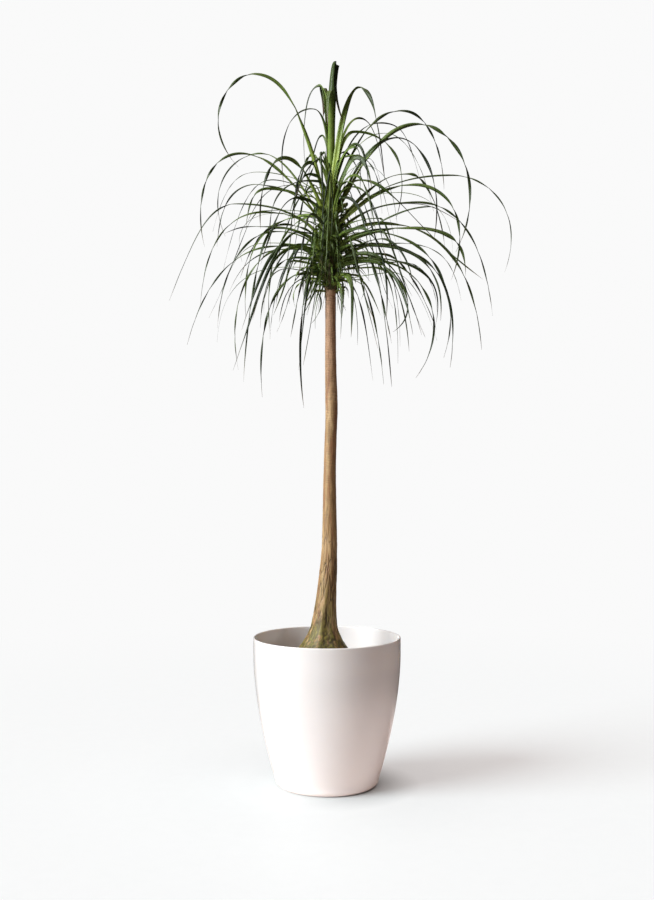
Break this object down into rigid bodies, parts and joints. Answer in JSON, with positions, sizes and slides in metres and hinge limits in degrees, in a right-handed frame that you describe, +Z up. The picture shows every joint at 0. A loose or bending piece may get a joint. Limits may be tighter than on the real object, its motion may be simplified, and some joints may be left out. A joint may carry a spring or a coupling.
{
  "type": "potted plant",
  "caption": "Potted ponytail palm: a fountain of long arching strap leaves on a slender bare trunk with a swollen furrowed foot, in a glossy tapered round pot.",
  "frame": {"origin": "centre of the pot's flat underside, on the floor", "axes": "+Z up along the pot's axis, -Y towards the viewer of the picture, +X to that viewer's right"},
  "size_m": [0.8235, 0.6246, 1.7164],
  "materials": {
    "pot": "gloss",
    "soil": "matte",
    "bark": "matte",
    "leaf": "satin"
  },
  "bodies": {
    "root": {"pot": "pot", "soil": "soil", "trunk": "bark", "leaf_crown": "leaf"}
  },
  "joints": []
}
